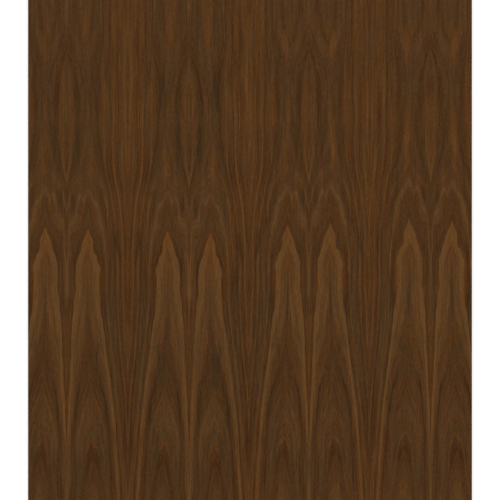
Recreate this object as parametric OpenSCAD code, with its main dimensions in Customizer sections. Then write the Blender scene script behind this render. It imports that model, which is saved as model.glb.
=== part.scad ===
// Fire-rated decorative wall panel: one full sheet, lying flat with its veneered face up.
// X runs across the grain and Y along it. Z points out of the decorative face.
// The origin is the middle of the back face.

/* [Sheet] */
// Width of the sheet, across the grain
sheet_width = 1220; // [600:10:1830]
// Length of the sheet, along the grain
sheet_length = 2440; // [900:10:3660]
// Thickness over everything, face and back veneers included
sheet_thickness = 9; // [3:0.5:25]

/* [Edges] */
// Sanded arris around the face, no deeper than the face veneer
face_arris = 0.4; // [0.1:0.1:1]
// Sanded arris around the back
back_arris = 0.3; // [0.1:0.1:1]

/* [Hidden] */
// How far each section is swept past the sheet that it is cut to
overrun = 5;
walnut = "#503522";

// Section through the sheet, `span` wide: a flat slab with its four corners sanded off
module section(span) {
    edge = span / 2;
    top = sheet_thickness;
    polygon([
        [-edge + back_arris, 0],
        [edge - back_arris, 0],
        [edge, back_arris],
        [edge, top - face_arris],
        [edge - face_arris, top],
        [-edge + face_arris, top],
        [-edge, top - face_arris],
        [-edge, back_arris],
    ]);
}

// The cross section swept along the grain
module ripped_to_width() {
    rotate([90, 0, 0])
        linear_extrude(height = sheet_length + 2 * overrun, center = true)
            section(sheet_width);
}

// The long section swept across the grain
module cut_to_length() {
    rotate([90, 0, 90])
        linear_extrude(height = sheet_width + 2 * overrun, center = true)
            section(sheet_length);
}

// The board with its veneers pressed on is handled as one piece, so it is one solid:
// what both sections share, with the arris on all four sides.
module panel() {
    color(walnut)
        intersection() {
            ripped_to_width();
            cut_to_length();
        }
}

panel();
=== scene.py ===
# %% [markdown]
# # A sheet of walnut-veneered wall panel
#
# The object is one flat sheet: a pale mineral board that doesn't burn, with walnut veneer pressed on
# its face and a plain veneer on its back. Almost all that the eye sees is the figure of the face, so
# most of this lesson grows one walnut log in shader nodes and slices it.
#
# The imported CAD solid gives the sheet's size. Everything below is in metres, in that solid's own
# frame: X across the grain, Y along it, Z out of the decorative face.

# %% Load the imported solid
import math

import bpy
import numpy as np
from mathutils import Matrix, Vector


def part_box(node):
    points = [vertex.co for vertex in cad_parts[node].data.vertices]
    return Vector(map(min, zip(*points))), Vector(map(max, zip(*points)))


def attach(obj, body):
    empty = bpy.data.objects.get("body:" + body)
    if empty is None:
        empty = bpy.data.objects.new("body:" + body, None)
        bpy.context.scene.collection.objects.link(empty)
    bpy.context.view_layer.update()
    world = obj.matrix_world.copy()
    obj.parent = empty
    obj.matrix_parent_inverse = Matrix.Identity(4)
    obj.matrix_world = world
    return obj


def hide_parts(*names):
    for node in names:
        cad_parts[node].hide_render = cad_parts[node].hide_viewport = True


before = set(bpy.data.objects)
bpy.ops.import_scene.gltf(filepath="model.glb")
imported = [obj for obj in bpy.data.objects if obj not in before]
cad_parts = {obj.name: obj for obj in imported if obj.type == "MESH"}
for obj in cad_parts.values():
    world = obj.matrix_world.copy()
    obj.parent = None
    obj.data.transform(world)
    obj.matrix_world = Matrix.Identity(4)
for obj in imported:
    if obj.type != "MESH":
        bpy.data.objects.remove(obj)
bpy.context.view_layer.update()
MM = 0.001
low, high = (np.array(corner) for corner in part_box("panel"))
width, length, thickness = high - low
print(f"sheet {width / MM:.0f} x {length / MM:.0f} x {thickness / MM:.1f} mm")

# %% [markdown]
# ## The camera
#
# The photograph is taken square on, so the camera looks straight down on the sheet, with the length
# running up the picture. A flat sheet seen square on shows no perspective, so any lens would do. A
# long one also keeps the sheet's edges from leaning in.
#
# The picture cuts the sheet off at its top and bottom. It shows a square that is as wide as the sheet
# and its two white margins.

# %% Camera
LENS_MM = 100
SENSOR_MM = 36
# Width of the photograph and of the sheet in it, in pixels
PICTURE_PX = 500
SHEET_PX = 444
FARTHEST_SEEN_M = 100


def into_scene(name, data):
    """A new object with this mesh, camera or lamp, linked to the scene."""
    made = bpy.data.objects.new(name, data)
    bpy.context.scene.collection.objects.link(made)
    return made


seen = width * PICTURE_PX / SHEET_PX
lens = bpy.data.cameras.new("camera")
lens.lens = LENS_MM
lens.sensor_width = SENSOR_MM
lens.clip_end = FARTHEST_SEEN_M
camera = into_scene("camera", lens)
camera.location = (low + high) / 2
camera.location.z = high[2] + seen * LENS_MM / SENSOR_MM
bpy.context.scene.camera = camera
print(f"camera {camera.location.z:.2f} m up, {seen / MM:.0f} mm across the picture")

# %% [markdown]
# ## Three helpers for materials
#
# Colours are written as sRGB hex values, as a paint chart gives them, and one function turns them to
# the linear values that the shader works in. One function starts a material with an empty node tree,
# and one adds a node. Its inputs are given by name or number, as a value or as the output that they are
# linked to.

# %% Colour and node helpers
def linear(hex_colour):
    """The linear RGBA of an sRGB hex colour: each channel c is c / 12.92 where it is dark, and
    ((c + 0.055) / 1.055) ** 2.4 elsewhere."""
    srgb = np.array([int(hex_colour[i : i + 2], 16) / 255 for i in (1, 3, 5)])
    rgb = np.where(srgb <= 0.04045, srgb / 12.92, ((srgb + 0.055) / 1.055) ** 2.4)
    return (*rgb.tolist(), 1.0)


def new_material(name):
    """A new material, and its node tree with nothing in it."""
    material = bpy.data.materials.new(name)
    material.use_nodes = True
    material.node_tree.nodes.clear()
    return material, material.node_tree


def add(tree, kind, inputs=(), stops=(), curve=(), **settings):
    """Add a shader node and return its outputs. inputs is a list in the sockets' order, or a dict by
    name or number. stops fills a colour ramp with (place, hex colour), and curve a float curve with
    (place, value)."""
    made = tree.nodes.new("ShaderNode" + kind)
    for name, value in settings.items():
        setattr(made, name, value)
    named = inputs.items() if isinstance(inputs, dict) else enumerate(inputs)
    for name, value in named:
        if isinstance(value, bpy.types.NodeSocket):
            tree.links.new(value, made.inputs[name])
        elif value is not None:
            made.inputs[name].default_value = value
    # A new ramp or curve already has its two ends, so only the places past the second are new
    for number, (place, colour) in enumerate(stops):
        elements = made.color_ramp.elements
        stop = elements[number] if number < 2 else elements.new(place)
        stop.position = place
        stop.color = linear(colour)
    for number, (place, value) in enumerate(curve):
        points = made.mapping.curves[0].points
        point = points[number] if number < 2 else points.new(place, value)
        point.location = (place, value)
    if curve:
        made.mapping.update()
    return made.outputs


print("walnut brown in linear RGB:", [round(c, 4) for c in linear("#503422")[:3]])

# %% [markdown]
# ## The log
#
# A log is a stack of growth rings round its pith. The knife slices it lengthwise, a little way off the
# pith, so the distance from the pith to the knife changes wherever the trunk bends or swells, and the
# rings come out as pointed arches on the leaf. Crown-cut figure is nothing more than that. Arches could
# be drawn one by one, but growing the wood and slicing it makes all of them agree: a solid texture
# gives each point of the log a colour, and the leaves are thin slices of it.
#
# Each leaf carries an attribute, log_mm, that says where each of its points lay in the log: x across
# from the crown, y along the trunk, and z the depth of the slice. The ring that a point lies on is its
# distance from the pith, the square root of x squared and depth squared. The knife's distance from the
# pith along the trunk is one curve, and the tone of each ring is another.
#
# The photograph shows the middle 1374 mm of the trunk. Past that, the curves run on gently.

# %% The trunk's shape
HALF_MM = length / MM / 2
# Places along the trunk, and how far the knife runs from the pith there
KNIFE_TO_PITH = [
    (-1220, 46), (-1000, 51), (-850, 57), (-671, 66.5), (-533, 71.7), (-451, 76.1), (-368, 80.3),
    (-300, 84.3), (-231, 87.4), (-176, 89.3), (-121, 90.6), (-80, 90.9), (-44, 91.1), (-11, 92.9), (25, 95),
    (60, 97.6), (77, 98.6), (113, 100), (150, 103.7), (173, 106), (198, 109), (230, 111.5), (300, 113.5),
    (374, 114), (430, 114), (480, 113), (520, 111.5), (560, 109), (600, 107), (640, 106.5), (720, 106.5),
    (850, 105), (980, 101), (1100, 96), (1220, 92),
]
# Places along the trunk, and how far the crown has wandered sideways there
CROWN_DRIFT = [
    (-1220, 6), (-900, 13), (-671, 14), (-533, 10.5), (-451, 8.7), (-368, 6.7), (-300, 3), (-231, 0),
    (-150, -2.3), (-44, -2), (170, -1.5), (390, -1.5), (480, -5), (577, -9), (690, -11), (900, -8),
    (1220, -2),
]
# Places along the trunk, and how far from the crown the rings run straight into a point, as if folded
CREST_MM = [(-1220, 6), (-640, 8), (-540, 14), (-430, 32), (-330, 40), (0, 40), (1220, 40)]
DEEPEST_MM = 125
WIDEST_DRIFT_MM = 20
WIDEST_CREST_MM = 40
# The rings are a little flatter on the side that the leaf's crown joint is cut through
NEAR_SIDE = 0.93
# How much further from the pith a slice lies for each mm of its depth: the knife is nearly square on
SLICE_TILT = 0.2


def along_trunk(places, span):
    """(y, value) in mm as (place, share) for a float curve: y from one end of the sheet to the other
    becomes 0 to 1, and the value becomes its share of the span."""
    return [(0.5 + y / (2 * HALF_MM), value / span) for y, value in places]


depths = [depth for _, depth in KNIFE_TO_PITH]
print(f"the knife runs {min(depths)} to {max(depths)} mm from the pith")

# %% [markdown]
# ## The rings
#
# Walnut lays down a pale band in spring and a dark one in autumn, and no two years are alike. A plain
# wave would make every year the same, so each is set one by one here, as one wide pale ring makes the tall
# bright arches of this figure. It ends in a sharp line, where growth stopped for the winter, so the
# years inside that line and the years outside it are two separate curves.
#
# Tone is counted in steps: zero is the middle brown of the sheet, and a step up or down is about as
# small a difference as the eye can see.

# %% The rings, from the pith outwards
# Radius in mm, and steps lighter or darker
INNER_YEARS = [
    (45, 0), (52, -1), (57, 0), (62, 1), (66, 2), (67.8, 1), (69, -3.5), (70.2, -5), (71.4, -2),
    (72.6, -0.5), (74, 0), (76, 1.5), (78.5, 2), (80.5, 0.5), (82.5, -2), (84.5, -3), (86.5, -3.5),
    (88.7, -3), (89.9, 1), (91, 5), (92, 7), (93.2, 8), (94.3, 11.5), (95.3, 14), (97, 15), (98, 15),
]
OUTER_YEARS = [
    (97, -3), (98.6, -4), (99.4, -2), (100.3, -4), (101.8, -1), (104, 2.5), (105.2, 9.5), (106.1, 4.5),
    (107.5, 2), (110, 2), (112.5, 2), (114.5, 1), (116.5, -1.5), (118.2, -4), (119.3, -2.5), (120.7, 3.5),
    (122.3, 4), (124.3, 1), (126, -0.5), (127.8, -2.5), (130.2, 3.5), (132.2, 7), (135, 3.5),
    (138.5, -0.5), (141, 2), (144.5, 7.5), (147.5, 3), (150, 3.5), (153, 7.5), (158, 4.5), (165, 4.5),
    (172, 2),
]
PALE_RING_EDGE_MM = 97.6
# The edge is a line a fifth of a mm wide
LINE_HALF_MM = 0.1
# The most steps lighter or darker that the ring curves can hold
RING_STEPS = 16


def across_rings(years):
    """(radius, step) as (place, share) for a float curve: the radius from the first ring to the last
    becomes 0 to 1, and the steps from the darkest to the palest become 0 to 1."""
    first, last = years[0][0], years[-1][0]
    return [((r - first) / (last - first), 0.5 + step / (2 * RING_STEPS)) for r, step in years]


print(len(INNER_YEARS) + len(OUTER_YEARS), "turns in the two ring curves")

# %% [markdown]
# ## The marks
#
# A log is never as regular as its rings. It has pale smears and tongues where the knife just grazes a
# ring, cool grey-green stains from minerals in the ground, and dents that make the arches jagged. All
# the leaves come from one small part of the log, so the same marks turn up in each of them and fade in
# and out from slice to slice. A noise texture would scatter such marks at random. Here each one is
# placed one by one, as a soft ellipsoid in the log that a few slices cut through.

# %% The marks
# Centre in the log, and half width, half length and half depth, all in mm. Then what the mark does:
# steps lighter or darker, how much cooler its brown is, and how far it dents the rings in mm. Last,
# the degrees that it leans over to the left.
MARKS = [
    # Pale smears near the top of the figure, and the dusk round them
    ((-8, 625, 1), (13, 85, 1.8), (7, -0.4, 0), 0),
    ((4, 555, -1.8), (13, 60, 1.5), (6, -0.3, 0), 5),
    ((22, 620, 0), (12, 70, 8), (-3, 0.2, 0), 0),
    ((-43, 610, 0), (8, 85, 6), (-4, 0.2, 0), 0),
    ((6, 490, 0), (32, 55, 6), (-1.5, 0.1, 0), 0),
    ((-12, 490, 0), (9, 70, 8), (-3, 0.2, 0), 5),
    # Mineral stains beside the crown
    ((14, 445, 1), (11, 60, 1.2), (-7, 1, 0), 0),
    ((-29, 300, 0.6), (7, 52, 1.6), (-6, 0.8, 0), 0),
    ((-13, 318, -1.3), (5, 58, 0.9), (-2.5, 1, 0), 0),
    ((-36, 365, -1.1), (3.5, 62, 0.8), (-5, 0.8, 0), 0),
    ((-38, 415, 0), (4, 45, 8), (-3.5, 0.4, 0), 5),
    ((-41, 282, 0), (6, 24, 8), (-4, 0.6, 0), -20),
    # Pale streaks and tongues, some of them leaning towards the crown joint
    ((-14, 440, 0), (6, 75, 8), (2.5, 0, 0), 12),
    ((-9, 378, 0.8), (4.5, 62, 0.9), (6, -0.5, 0), 12),
    ((-6, 365, -1.1), (4.5, 85, 0.6), (5, -0.1, 0), 7),
    ((4, 300, -2), (7, 88, 1), (6, -0.4, 0), 0),
    ((6, 250, -1.35), (5.5, 25, 0.4), (7, -0.5, 0), 0),
    ((5, 245, 0), (7.5, 70, 6), (3.5, -0.1, 0), 0),
    ((4, 226, 0.9), (4.5, 17, 0.9), (6, -0.4, 0), 0),
    ((-25, 185, 0), (3.5, 35, 6), (4.5, 0.1, 0), 0),
    ((-58, 215, 0), (8, 60, 8), (4, -0.2, 0), 0),
    ((52, 120, 0), (5, 95, 8), (4, -0.1, 0), 12),
    # Dark hollows between them
    ((-12, 225, 0), (7, 42, 6), (-3.5, 0.4, 0), 0),
    ((-41, 125, 0), (9, 42, 8), (-9.5, 0.3, 0), 0),
    ((38, 128, 0), (10, 75, 8), (-6, 0.3, 0), 10),
    # Streaks in the straight grain, one pale and the rest dark
    ((82, 440, 0), (6, 120, 8), (3.5, -0.1, 0), 0),
    ((80, 10, 0), (9, 50, 8), (-8, 0.3, 0), 8),
    ((82, 0, -0.9), (3, 48, 1.2), (-9, 0.3, 0), 0),
    ((68, -150, 0), (7, 65, 8), (-4, 0.2, 0), 9),
    ((46, -150, 0), (8, 130, 8), (-3.5, 0.3, 0), -7),
    ((82, -165, 0.7), (3.5, 75, 1), (-5, 0.4, 0), 0),
    ((56, -200, 0), (3, 45, 8), (-4, 0.3, 0), 10),
    ((62, -220, 0), (9, 120, 8), (-4.5, 0.3, 0), 7),
    ((72, -230, 0), (24, 250, 8), (-1, 0.2, 0), 0),
    ((80, -230, 0), (5, 170, 8), (-4, 0.3, 0), 4),
    ((66, -370, 0), (9, 70, 8), (-4, 0.2, 0), 6),
    ((100, -430, 0), (24, 230, 8), (-3.5, 0.1, 0), 0),
    ((40, -500, 0), (12, 130, 8), (-3, 0.3, 0), -8),
    ((56, -610, 0), (10, 100, 8), (-6, 0.2, 0), 4),
    # The pale ring's bright shoulders, and the dusk in its middle
    ((0, -40, 0), (28, 130, 8), (1, -0.3, 0), 0),
    ((38, -90, 0), (8, 80, 8), (5.5, -0.2, 0), 6),
    ((-50, -100, 0), (11, 70, 8), (8, 0.15, 0), 0),
    ((10, -140, 0), (9, 70, 8), (-3, 0.2, 0), 0),
    # The heart inside the pale ring, with its stains, a pin knot, pale patches and a dark foot
    ((-2, -170, -1.7), (3, 62, 1.3), (-7, 0.7, 0), 0),
    ((3, -225, 0.9), (5, 48, 1.4), (-6, 0.9, 0), 0),
    ((24, -275, 0), (8, 27, 8), (-7, 0.6, 0), 0),
    ((24, -287, 0.9), (5, 16, 1.3), (-8, 1, 0), 0),
    ((9, -318, 1.1), (13, 48, 1), (-4.5, 1.5, 0), 0),
    ((-13, -330, -1.6), (3.5, 8, 1.5), (-9, 0.3, 0), 0),
    ((-19, -370, 0), (9, 50, 8), (4, -0.1, 0), 0),
    ((-8, -470, 0), (18, 60, 6), (3, 0, 0), 0),
    ((-27, -640, 0), (14, 70, 8), (-4, 0.2, 0), 0),
    # Warmer wood along the crown joint, darker further down
    ((-56, -300, 0), (9, 260, 8), (1.5, -0.2, 0), 0),
    ((-57, -400, 0), (8, 50, 8), (-4, 0.1, 0), 0),
    ((-58, -620, 0), (8, 90, 8), (-5, 0.1, 0), 0),
]
# The same numbers for the dents: in the arches round the tip of the pale ring, in the straight grain
# beside it, and at the pin knot
DENTS = [
    ((-14, 152, 0), (6, 32, 8), (0, 0, 0.9), 0),
    ((-25, 134, 0), (9, 36, 8), (0, 0, -1.9), 0),
    ((-52, 55, 0), (14, 50, 8), (0, 0, -2.2), 0),
    ((18, 5, 0), (8, 22, 8), (0, 0, 1.2), 0),
    ((82, 45, 0), (28, 60, 8), (0, 0, -1.8), 0),
    ((76, 525, 0), (28, 60, 8), (0, 0, -1.5), 0),
    ((80, -176, 0), (24, 50, 8), (0, 0, -1.2), 0),
    ((-13, -330, -1.6), (3.5, 8, 1.5), (0, 0, -1), 0),
]
# A mark counts in full up to the first share of its half size, and no more past the second
FULL_WITHIN = 0.4
NOTHING_PAST = 1.3
print(len(MARKS), "marks and", len(DENTS), "dents")

# %% [markdown]
# ## The walnut
#
# The face is walnut veneer under a dead matt lacquer, which gives the eye deep brown with no shine,
# arches with crisp edges, and fine streaks all along the grain. One noise texture over the face would
# look like stained paper, because real streaks follow the rings in some places and the trunk in others.
# So the next cells each add one layer: noise measured in mm of wood, the marks, the rings, and then the
# grain, whose growth lines are noise over the ring's own radius.

# %% Streaks of a real size
def streaks(tree, place, spot_mm, detail, roughness):
    """Noise over a place in mm, in spots about spot_mm across, along and deep. It runs from 0 to 1 and
    is mostly between a quarter and three quarters."""
    scale = tuple(1 / extent for extent in spot_mm)
    scaled = add(tree, "VectorMath", [place, scale], operation="MULTIPLY")[0]
    settings = {"Vector": scaled, "Scale": 1, "Detail": detail, "Roughness": roughness}
    return add(tree, "TexNoise", settings)


def streaks_between(tree, place, spot_mm, detail, roughness, ends):
    """Streaks as a value that is mostly between the two ends: a quarter of the noise's range becomes
    the first, and three quarters the second."""
    noise = streaks(tree, place, spot_mm, detail, roughness)["Fac"]
    return add(tree, "MapRange", [noise, 0.25, 0.75, *ends], clamp=False)[0]


def pushed(tree, place, noise, push_mm):
    """The place pushed about by noise: place + (noise - 0.5) * push_mm."""
    centred = add(tree, "VectorMath", [noise["Color"], (0.5, 0.5, 0.5)], operation="SUBTRACT")[0]
    return add(tree, "VectorMath", [centred, push_mm, place], operation="MULTIPLY_ADD")[0]


def total(tree, first, *others):
    """The sum of several values."""
    for other in others:
        first = add(tree, "Math", [first, other], operation="ADD")[0]
    return first


# %% The marks in nodes
def sum_of_marks(tree, place, marks):
    """Steps, coolness and dent at a place, summed over the marks: each mark's effect times a weight
    that falls smoothly from 1 to 0 with the distance from its centre, counted in its half sizes."""
    so_far = (0, 0, 0)
    for centre, half_size, effect, lean in marks:
        turn = (0, 0, math.radians(lean))
        shape = {"Vector": place, "Location": centre, "Rotation": turn, "Scale": half_size}
        inside = add(tree, "Mapping", shape, vector_type="TEXTURE")[0]
        away = add(tree, "VectorMath", [inside], operation="LENGTH")["Value"]
        fade = [away, FULL_WITHIN, NOTHING_PAST, 1, 0]
        weight = add(tree, "MapRange", fade, interpolation_type="SMOOTHSTEP")[0]
        so_far = add(tree, "VectorMath", [weight, effect, so_far], operation="MULTIPLY_ADD")[0]
    return add(tree, "SeparateXYZ", [so_far])


# %% The rings in nodes
def trunk_value(tree, share, places, span):
    """The value in mm of one of the trunk's curves, as a share of its span times the span."""
    part = add(tree, "FloatCurve", [1, share], curve=along_trunk(places, span))[0]
    return add(tree, "Math", [part, span], operation="MULTIPLY")[0]


def ring_radius(tree, place, dent):
    """The distance from the pith: the square root of depth squared plus aside squared, plus the dent.
    Within the crest, aside squared becomes aside times the crest's width, which folds the rings to a
    point. Also returns how steeply the ring is cut, which is aside over radius."""
    at = add(tree, "SeparateXYZ", [place])
    share = add(tree, "MapRange", [at["Y"], -HALF_MM, HALF_MM, 0, 1])[0]
    knife = trunk_value(tree, share, KNIFE_TO_PITH, DEEPEST_MM)
    drift = trunk_value(tree, share, CROWN_DRIFT, WIDEST_DRIFT_MM)
    crest = trunk_value(tree, share, CREST_MM, WIDEST_CREST_MM)
    depth = add(tree, "Math", [at["Z"], SLICE_TILT, knife], operation="MULTIPLY_ADD")[0]
    sideways = add(tree, "Math", [at["X"], drift], operation="SUBTRACT")[0]
    near = add(tree, "Math", [sideways, -NEAR_SIDE], operation="MULTIPLY")[0]
    aside = add(tree, "Math", [sideways, near], operation="MAXIMUM")[0]
    reach = add(tree, "Math", [aside, crest], operation="MAXIMUM")[0]
    aside_square = add(tree, "Math", [aside, reach], operation="MULTIPLY")[0]
    square = add(tree, "Math", [depth, depth, aside_square], operation="MULTIPLY_ADD")[0]
    even = add(tree, "Math", [square], operation="SQRT")[0]
    steepness = add(tree, "Math", [aside, even], operation="DIVIDE")[0]
    return total(tree, even, dent), steepness


def ring_steps(tree, radius):
    """The rings' tone in steps: the inner years up to the pale ring's edge, and the outer ones past
    it."""
    shares = []
    for years in (INNER_YEARS, OUTER_YEARS):
        share = add(tree, "MapRange", [radius, years[0][0], years[-1][0], 0, 1])[0]
        shares.append(add(tree, "FloatCurve", [1, share], curve=across_rings(years))[0])
    line = (PALE_RING_EDGE_MM - LINE_HALF_MM, PALE_RING_EDGE_MM + LINE_HALF_MM)
    outside = add(tree, "MapRange", [radius, *line, 0, 1])[0]
    share = add(tree, "Mix", {0: outside, 2: shares[0], 3: shares[1]})[0]
    return add(tree, "MapRange", [share, 0, 1, -RING_STEPS, RING_STEPS])[0]


# %% The grain in nodes
# Real sizes across, along and deep. A year's growth is a few mm wide and changes slowly along the log.
# Lines within a year are half a mm wide, and streaks of fibre run for a hand's breadth.
GROWTH_MM = (2.8, 300, 8)
WINTER_MM = (5.5, 500, 9)
FINE_LINE_MM = (0.45, 160, 8)
FIBRE_MM = (5, 80, 3)
# Pores are about 0.2 mm wide. They are drawn wider, or the picture wouldn't show them.
PORE_MM = (1.5, 9, 2)


def growth_lines(tree, on_ring, steepness):
    """Steps of tone that are the same all along a ring: soft bands, and thin dark winter lines where a
    second noise crosses its middle. They show most where the rings are cut steeply."""
    bands = streaks_between(tree, on_ring, GROWTH_MM, 3, 0.75, (-12, 13))
    winter = streaks(tree, on_ring, WINTER_MM, 1, 0.5)["Fac"]
    from_middle = add(tree, "Math", [winter, 0.5], operation="SUBTRACT")[0]
    off_middle = add(tree, "Math", [from_middle], operation="ABSOLUTE")[0]
    winter_lines = add(tree, "MapRange", [off_middle, 0, 0.05, -7, 0])[0]
    crisp = add(tree, "MapRange", [steepness, 0.1, 0.45, 0.35, 1])[0]
    return add(tree, "Math", [total(tree, bands, winter_lines), crisp], operation="MULTIPLY")[0]


def grain_steps(tree, log, on_ring, steepness, pores):
    """The grain's tone in steps. Growth lines and fine lines follow the rings. Fibre and pores run
    straight along the trunk."""
    lines = growth_lines(tree, on_ring, steepness)
    fine_lines = streaks_between(tree, on_ring, FINE_LINE_MM, 1, 0.5, (-5.5, 5.5))
    fibre = streaks_between(tree, log, FIBRE_MM, 5, 0.74, (-8, 8))
    pore_steps = add(tree, "MapRange", [pores["Fac"], 0.35, 0.65, 5.5, -5.5], clamp=False)[0]
    return total(tree, lines, fine_lines, fibre, pore_steps)


# %% The browns
# Tone from the darkest to the palest, in a warm and a cool brown
WARM_BROWN = ["#391d09", "#45260f", "#513015", "#5d3a1b", "#6b4420"]
COOL_BROWN = ["#322110", "#3e2a16", "#4a331e", "#563d25", "#654628"]
TONE_STEPS = 20
# Two faint tints that the lines of the wood take by turns
OLIVE_TINT = "#f7ffcc"
ROSY_TINT = "#fff5ff"
TINT_MM = (3, 60, 6)


def brown_ramp(tree, share, browns):
    """The brown of a tone, from the darkest at 0 to the palest at 1."""
    places = [number / (len(browns) - 1) for number in range(len(browns))]
    stops = list(zip(places, browns))
    return add(tree, "ValToRGB", [share], stops=[stops[0], stops[-1], *stops[1:-1]])["Color"]


def brown(tree, steps, coolness, on_ring):
    """The colour of a tone in steps: warm or cool brown, times a tint."""
    share = add(tree, "MapRange", [steps, -TONE_STEPS, TONE_STEPS, 0, 1])[0]
    warm = brown_ramp(tree, share, WARM_BROWN)
    cool = brown_ramp(tree, share, COOL_BROWN)
    plain = add(tree, "Mix", {0: coolness, 6: warm, 7: cool}, data_type="RGBA")["Result"]
    blush = streaks_between(tree, on_ring, TINT_MM, 4, 0.75, (0, 1))
    blush = add(tree, "Clamp", [blush])[0]
    tints = {0: blush, 6: linear(OLIVE_TINT), 7: linear(ROSY_TINT)}
    tint = add(tree, "Mix", tints, data_type="RGBA")["Result"]
    return add(tree, "Mix", {0: 1, 6: plain, 7: tint}, data_type="RGBA", blend_type="MULTIPLY")["Result"]


# %% Walnut
# Streaks that fray the marks' edges, and how far they push them
FRAY_MM = (3, 45, 4)
FRAY_PUSH_MM = (8, 130, 0)
# The slow wander of the rings from slice to slice, and how far it pushes them
WANDER_MM = (34, 150, 7)
WANDER_PUSH_MM = (7, 15, 0)
# Small bumps in the rings, and how high they are
BUMP_MM = (9, 45, 9)
BUMP_HEIGHT_MM = 0.35
# Lines of warmer and cooler brown
HUE_MM = (2.2, 160, 8)
PORE_DEPTH_MM = 0.05
LACQUER_IOR = 1.5
# Dead matt lacquer throws back little light, and no clear reflections
LACQUER_SPECULAR = 0.05


def walnut():
    """Crown-cut walnut under a dead matt lacquer: brown rings in arches, fine streaks of fibre, cool
    grey-green mineral stains and short open pores."""
    material, tree = new_material("walnut_crown_cut_matt_lacquer")
    log = add(tree, "Attribute", attribute_name="log_mm")["Vector"]

    # Frayed edges for the marks, and dents, small bumps and a slow wander for the rings
    fray = streaks(tree, log, FRAY_MM, 2, 0.6)
    marks = sum_of_marks(tree, pushed(tree, log, fray, FRAY_PUSH_MM), MARKS)
    dents = sum_of_marks(tree, log, DENTS)
    wander = streaks(tree, log, WANDER_MM, 1, 0.55)
    bump = streaks_between(tree, log, BUMP_MM, 0, 0.6, (-BUMP_HEIGHT_MM, BUMP_HEIGHT_MM))
    dent = total(tree, dents["Z"], bump)
    radius, steepness = ring_radius(tree, pushed(tree, log, wander, WANDER_PUSH_MM), dent)
    at = add(tree, "SeparateXYZ", [log])
    on_ring = add(tree, "CombineXYZ", [radius, at["Y"], at["Z"]])[0]
    pores = streaks(tree, log, PORE_MM, 2, 0.7)
    grain = grain_steps(tree, log, on_ring, steepness, pores)
    steps = total(tree, ring_steps(tree, radius), grain, marks["X"])

    # Warm and cool brown change places from line to line, and the straight grain is the warmest
    hue = streaks_between(tree, on_ring, HUE_MM, 3, 0.7, (-0.7, 0.7))
    straight = add(tree, "MapRange", [at["X"], 35, 80, 0.58, 0.33])[0]
    coolness = add(tree, "Clamp", [total(tree, hue, straight, marks["Y"])])[0]

    # A pore is open under the lacquer, so it is rougher and lies a little deeper
    dips = {"Strength": 0.4, "Distance": PORE_DEPTH_MM * MM, "Height": pores["Fac"]}
    finish = add(tree, "BsdfPrincipled", {
        "Base Color": brown(tree, steps, coolness, on_ring),
        "Roughness": add(tree, "MapRange", [pores["Fac"], 0.4, 0.7, 0.58, 0.7])[0],
        "Normal": add(tree, "Bump", dips, invert=True)[0],
        "IOR": LACQUER_IOR,
        "Specular IOR Level": LACQUER_SPECULAR,
    })[0]
    add(tree, "OutputMaterial", [finish])
    return material


walnut_veneer = walnut()
print("walnut has", len(walnut_veneer.node_tree.nodes), "nodes")

# %% [markdown]
# ## The leaves
#
# The slices come off the log one after another and are laid side by side, every second one turned over
# like the page of a book, so that each joint has the same figure left and right. Six leaves run from
# joint to joint, and the two outer ones are cut off where the sheet was trimmed.
#
# One flat rectangle with mirrored coordinates would look the same from above. But the sheet's arris and
# the eased joints are real shapes that catch light from low down, and the slices really are separate,
# so each leaf is a closed slab over a grid, with its place in the log in an attribute.

# %% Where the joints are
VENEER_MM = 0.45
# The seven joints between the eight leaves, measured from the sheet's middle
JOINTS_MM = [-504, -335, -167.5, -4, 162, 325.5, 496]
# The leaves in the order in which the knife cut them, from the bark inwards
CUT_ORDER = [4, 3, 2, 1, 5, 6, 8, 7]
# The cut whose slice lies at depth zero
REFERENCE_CUT = 2
# The trunk leans, so each slice meets the same figure a little further along
LEAN_MM = 4
CROWN_FROM_JOINT_MM = 60.5
ARRIS_MM = 0.4
BACK_ARRIS_MM = 0.3
JOINT_EASE_MM = 0.1

edges_mm = [low[0] / MM, *JOINTS_MM, high[0] / MM]
print("leaves are", [round(b - a) for a, b in zip(edges_mm, edges_mm[1:])], "mm wide")


# %% A closed slab over a grid
def closed_slab(name, xs, ys, top, bottom, material):
    """A closed sheet over the grid xs by ys, all in mm. Point (i, j) of its face is (xs[i], ys[j],
    top[i, j]) and the same point of its back is (xs[i], ys[j], bottom[i, j]). A band of quads round
    the rim joins the two."""
    across, along = np.meshgrid(xs, ys, indexing="ij")
    face = np.stack([across, along, top], axis=-1).reshape(-1, 3)
    back = np.stack([across, along, bottom], axis=-1).reshape(-1, 3)
    number = np.arange(len(face)).reshape(across.shape)
    cells = np.stack([number[:-1, :-1], number[1:, :-1], number[1:, 1:], number[:-1, 1:]], axis=-1)
    cells = cells.reshape(-1, 4)
    rim = np.concatenate([number[:-1, 0], number[-1, :-1], number[:0:-1, -1], number[0, :0:-1]])
    ahead = np.roll(rim, -1)
    under = len(face)
    band = np.stack([rim, rim + under, ahead + under, ahead], axis=-1)
    quads = np.concatenate([cells, cells[:, ::-1] + under, band])

    mesh = bpy.data.meshes.new(name)
    mesh.from_pydata(np.concatenate([face, back]) * MM, [], quads.tolist())
    mesh.materials.append(material)
    return into_scene(name, mesh)


def grid_lines(start, stop, pitch, inset):
    """Places from start to stop about a pitch apart, with one more a small inset from each end."""
    inner = np.linspace(start + inset, stop - inset, round((stop - start) / pitch) + 1)
    return np.concatenate([[start], inner, [stop]])


print("lines over 50 mm, for instance:", grid_lines(0, 50, 25, 1).tolist())

# %% Lay the leaves
FACE_MM = high[2] / MM
ACROSS_PITCH_MM = 14
ALONG_PITCH_MM = 20


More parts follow.
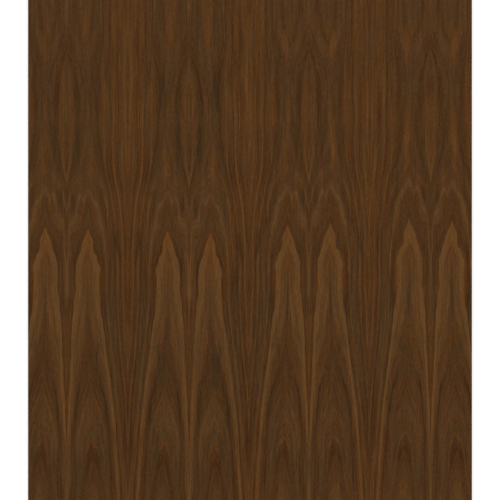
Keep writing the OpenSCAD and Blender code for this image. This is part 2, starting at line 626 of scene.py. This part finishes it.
def face_height(xs, ys):
    """Height of the face: its top, less what the sloping arris takes along the sheet's four edges, and
    what easing takes along the joints."""
    from_side = np.minimum(xs - edges_mm[0], edges_mm[-1] - xs)[:, None]
    from_end = (HALF_MM - np.abs(ys))[None, :]
    arris = np.clip(ARRIS_MM - np.minimum(from_side, from_end), 0, ARRIS_MM)
    return FACE_MM - arris - JOINT_EASE_MM * np.isin(xs, JOINTS_MM)[:, None]


def lay_leaf(number):
    """A leaf, counted from 1 at the left. Joints 1, 3, 5 and 7 are crown joints: the leaves on both
    sides have their crown at the same distance from the joint, so x in the log is the distance from
    the joint less that one."""
    left, right = edges_mm[number - 1], edges_mm[number]
    turned = number % 2 == 1
    crown_joint = right if turned else left
    xs = grid_lines(left, right, ACROSS_PITCH_MM, ARRIS_MM)
    ys = grid_lines(-HALF_MM, HALF_MM, ALONG_PITCH_MM, ARRIS_MM)
    top = face_height(xs, ys)
    bottom = np.full(top.shape, FACE_MM - VENEER_MM)
    leaf = closed_slab(f"veneer_leaf_{number}", xs, ys, top, bottom, walnut_veneer)

    slices_out = REFERENCE_CUT - CUT_ORDER.index(number)
    at = np.empty(len(leaf.data.vertices) * 3)
    leaf.data.vertices.foreach_get("co", at)
    at = at.reshape(-1, 3) / MM
    from_crown = np.abs(at[:, 0] - crown_joint) - CROWN_FROM_JOINT_MM
    along = at[:, 1] + slices_out * LEAN_MM
    slice_depth = np.full(len(at), slices_out * VENEER_MM)
    log = np.stack([from_crown, along, slice_depth], axis=-1)
    attribute = leaf.data.attributes.new("log_mm", "FLOAT_VECTOR", "POINT")
    attribute.data.foreach_set("vector", log.astype(np.float32).ravel())
    return leaf


leaves = [lay_leaf(number) for number in range(1, len(edges_mm))]
print(len(leaves), "leaves of about", len(leaves[1].data.polygons), "faces")

# %% [markdown]
# ## The board
#
# Under the veneer is a board of cement-like mineral with fine wood fibre in it, which doesn't burn. Only
# its sawn edges show. They are pale and chalky, clouded where the mix was wetter, flecked with darker
# fibre and pinholes, and ribbed by the saw's teeth. It could be the CAD solid with a new material, but
# that solid also stands for the veneers, so the board is its own slab between them.

# %% Mineral board
# Real sizes: clouds 35 mm, grit 0.3 mm drawn at 1.2, flecks 1 mm drawn at 2.5, a saw rib every 1.5 mm
CLOUD_MM = (35, 35, 8)
GRIT_MM = (1.2, 1.2, 1.2)
FLECK_MM = (2.5, 2.5, 1.2)
SAW_RIB_MM = (1.5, 1.5, 60)
CHALK_GREYS = [(0, "#a39d92"), (1, "#cac6bd"), (0.5, "#b9b5ac")]
FLECK_BROWN = "#7d7365"
SAWN_DEPTH_MM = 0.2
CEMENT_IOR = 1.5
CEMENT_SPECULAR = 0.3


def place_mm(tree):
    """The place on the sheet, in mm from the middle of its back face."""
    metres = add(tree, "TexCoord")["Object"]
    return add(tree, "VectorMath", [metres, (1 / MM,) * 3], operation="MULTIPLY")[0]


def mineral_board():
    """Sawn mineral board: pale chalky grey with clouds, dark flecks, grit and saw ribs."""
    material, tree = new_material("mineral_board_sawn")
    place = place_mm(tree)
    cloud = streaks_between(tree, place, CLOUD_MM, 3, 0.55, (-0.3, 0.3))
    grit = streaks_between(tree, place, GRIT_MM, 2, 0.6, (-0.12, 0.12))
    rib = streaks_between(tree, place, SAW_RIB_MM, 1, 0.5, (-0.12, 0.12))
    tone = add(tree, "Clamp", [total(tree, 0.5, cloud, grit, rib)])[0]
    chalk = add(tree, "ValToRGB", [tone], stops=CHALK_GREYS)["Color"]
    # Only the highest spots of the noise are flecks
    spots = streaks(tree, place, FLECK_MM, 2, 0.5)["Fac"]
    fleck = add(tree, "MapRange", [spots, 0.62, 0.7, 0, 0.6])[0]
    flecked = add(tree, "Mix", {0: fleck, 6: chalk, 7: linear(FLECK_BROWN)}, data_type="RGBA")["Result"]
    sawn = {"Strength": 0.6, "Distance": SAWN_DEPTH_MM * MM, "Height": total(tree, grit, rib)}
    finish = add(tree, "BsdfPrincipled", {
        "Base Color": flecked,
        "Roughness": add(tree, "MapRange", [tone, 0, 1, 0.95, 0.82])[0],
        "Normal": add(tree, "Bump", sawn)[0],
        "IOR": CEMENT_IOR,
        "Specular IOR Level": CEMENT_SPECULAR,
    })[0]
    add(tree, "OutputMaterial", [finish])
    return material


BOARD_PITCH_MM = 60
xs = grid_lines(low[0] / MM, high[0] / MM, BOARD_PITCH_MM, BACK_ARRIS_MM)
ys = grid_lines(-HALF_MM, HALF_MM, BOARD_PITCH_MM, BACK_ARRIS_MM)
flat = np.zeros((len(xs), len(ys)))
board_top = flat + FACE_MM - VENEER_MM
board_bottom = flat + VENEER_MM
board = closed_slab("mineral_board", xs, ys, board_top, board_bottom, mineral_board())
print(f"board {FACE_MM - 2 * VENEER_MM:.1f} mm thick")

# %% [markdown]
# ## The back
#
# A sheet that is veneered on one side only would bow, so a cheaper balancing veneer is pressed on the
# back. It is plain, straight-grained and sanded but not lacquered: mid brown strips butted edge to
# edge, each from a different log, so each has its own shade. The strips could be separate pieces like
# the leaves, but nothing of them shows except colour, so one slab carries them in its material.

# %% Backing veneer
STRIP_MM = 203.4
# Real sizes: bands of growth 4 mm, fibre 0.3 mm drawn at 1, pores 0.25 mm drawn at 1
BACK_BAND_MM = (4, 420, 4)
BACK_FIBRE_MM = (1, 60, 1)
BACK_PORE_MM = (1, 9, 1)
# How far apart the strips' places in the noise may lie
OTHER_LOG_MM = 9000
BACK_BROWNS = [(0, "#583f2a"), (1, "#9a8064"), (0.5, "#7c634a")]
SANDED_DEPTH_MM = 0.1
BARE_WOOD_IOR = 1.5
BARE_WOOD_SPECULAR = 0.3


def backing_wood():
    """Plain sanded hardwood in strips: soft straight bands, fine fibre and short dark pores."""
    material, tree = new_material("balancing_veneer_sanded")
    place = place_mm(tree)
    at = add(tree, "SeparateXYZ", [place])
    strip = add(tree, "Math", [at["X"], STRIP_MM], operation="DIVIDE")[0]
    strip_number = add(tree, "Math", [strip], operation="FLOOR")[0]
    own = add(tree, "TexWhiteNoise", {"W": strip_number}, noise_dimensions="1D")
    # Each strip reads the noise somewhere else
    elsewhere = [own["Color"], (OTHER_LOG_MM,) * 3, place]
    place = add(tree, "VectorMath", elsewhere, operation="MULTIPLY_ADD")[0]
    bands = streaks_between(tree, place, BACK_BAND_MM, 3, 0.6, (-0.22, 0.22))
    fibre = streaks_between(tree, place, BACK_FIBRE_MM, 3, 0.65, (-0.12, 0.12))
    pores = streaks(tree, place, BACK_PORE_MM, 1, 0.5)["Fac"]
    pore_dark = add(tree, "MapRange", [pores, 0.55, 0.7, 0, -0.3])[0]
    shade = add(tree, "MapRange", [own["Value"], 0, 1, 0.36, 0.64])[0]
    tone = add(tree, "Clamp", [total(tree, shade, bands, fibre, pore_dark)])[0]
    sanded = {"Strength": 0.5, "Distance": SANDED_DEPTH_MM * MM, "Height": pore_dark}
    finish = add(tree, "BsdfPrincipled", {
        "Base Color": add(tree, "ValToRGB", [tone], stops=BACK_BROWNS)["Color"],
        "Roughness": add(tree, "MapRange", [tone, 0, 1, 0.78, 0.62])[0],
        "Normal": add(tree, "Bump", sanded)[0],
        "IOR": BARE_WOOD_IOR,
        "Specular IOR Level": BARE_WOOD_SPECULAR,
    })[0]
    add(tree, "OutputMaterial", [finish])
    return material


from_side = np.minimum(xs - xs[0], xs[-1] - xs)
from_end = np.minimum(ys - ys[0], ys[-1] - ys)
from_edge = np.minimum.outer(from_side, from_end)
backing_bottom = np.clip(BACK_ARRIS_MM - from_edge, 0, BACK_ARRIS_MM)
backing = closed_slab("backing_veneer", xs, ys, board_bottom, backing_bottom, backing_wood())
print("backing strips of", STRIP_MM, "mm")

# %% [markdown]
# ## One sheet
#
# The ten pieces are pressed together for good, so they all ride on the sheet's one body. Together they
# stand for the CAD solid, which stays behind them for collisions.

# %% Fix the pieces to the sheet
for piece in leaves:
    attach(piece, "root")
    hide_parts("panel")
for piece, slot in ((board, "mineral_board"), (backing, "backing_veneer")):
    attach(piece, "root")
    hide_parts("panel")
print(len(leaves) + 2, "pieces")

# %% [markdown]
# ## Floor and light
#
# The sheet lies on white paper. In the photograph its margins are pure white, which a lit floor only
# reaches when the light is far too strong for the wood. So the paper glows for the rays that the camera
# sees and reflections show, and stays an ordinary grey for the light that it throws back.
#
# Light comes from four wide lamps, low enough that the matt lacquer throws no glare straight up at the
# camera, and from a pale world. The world is darker overhead, where the face would mirror it.

# %% The floor
FLOOR_HALF_M = 40
FLOOR_BELOW_MM = 0.2
PAPER_GREY = "#c8c8c8"
GLOW = 0.55


def shown_directly(tree):
    """1 for rays from the camera, and for those that a reflection or glass sends on, and 0 for the
    rest."""
    rays = add(tree, "LightPath")
    shown = total(tree, rays["Is Camera Ray"], rays["Is Glossy Ray"], rays["Is Transmission Ray"])
    return add(tree, "Clamp", [shown])[0]


paper, tree = new_material("white_paper")
lit = add(tree, "BsdfDiffuse", {"Color": linear(PAPER_GREY)})[0]
strength = add(tree, "Math", [shown_directly(tree), GLOW], operation="MULTIPLY")[0]
glow = add(tree, "Emission", {"Strength": strength})[0]
add(tree, "OutputMaterial", [add(tree, "AddShader", [lit, glow])[0]])

corners = np.array([(-1, -1, 0), (1, -1, 0), (1, 1, 0), (-1, 1, 0)]) * float(FLOOR_HALF_M)
corners[:, 2] = low[2] - FLOOR_BELOW_MM * MM
mesh = bpy.data.meshes.new("floor")
mesh.from_pydata(corners, [], [(0, 1, 2, 3)])
mesh.materials.append(paper)
into_scene("floor", mesh)
print("floor", 2 * FLOOR_HALF_M, "m square")

# %% World and lamps
SKY_LIGHT = 0.25
# What reflections see of the sky: 1 near the horizon, and this little overhead
OVERHEAD = 0.1
# Where the darkening starts and ends, as the sine of 33 and 58 degrees above the horizon
CEILING_FROM = 0.55
CEILING_PAST = 0.85
LAMP_TURNS_DEG = (45, 135, 225, 315)
LAMP_HEIGHT_DEG = 35
LAMP_WIDTH_DEG = 30
# The light of all the lamps together on a level face, where 1 shows a colour as it is written
LAMP_LIGHT = 0.75

world = bpy.data.worlds.new("studio")
world.use_nodes = True
tree = world.node_tree
tree.nodes.clear()
height = add(tree, "SeparateXYZ", [add(tree, "TexCoord")["Generated"]])["Z"]
ceiling = add(tree, "MapRange", [height, CEILING_FROM, CEILING_PAST, 1, OVERHEAD])[0]
strength = add(tree, "MapRange", [shown_directly(tree), 0, 1, SKY_LIGHT, ceiling])[0]
add(tree, "OutputWorld", [add(tree, "Background", [(1, 1, 1, 1), strength])[0]])
bpy.context.scene.world = world

# A white surface in a sun of pi watts a square metre renders as 1, and one lit from low down gets less
lamp_watts = LAMP_LIGHT * math.pi / len(LAMP_TURNS_DEG) / math.sin(math.radians(LAMP_HEIGHT_DEG))
for turn in LAMP_TURNS_DEG:
    sun = bpy.data.lights.new(f"lamp_{turn}", "SUN")
    sun.angle = math.radians(LAMP_WIDTH_DEG)
    sun.energy = lamp_watts
    lamp = into_scene(sun.name, sun)
    lamp.rotation_euler = (math.radians(90 - LAMP_HEIGHT_DEG), 0, math.radians(turn))

bpy.context.scene.view_settings.view_transform = "Standard"
print(len(LAMP_TURNS_DEG), "lamps, each with", round(lamp_watts, 2), "W/m2")
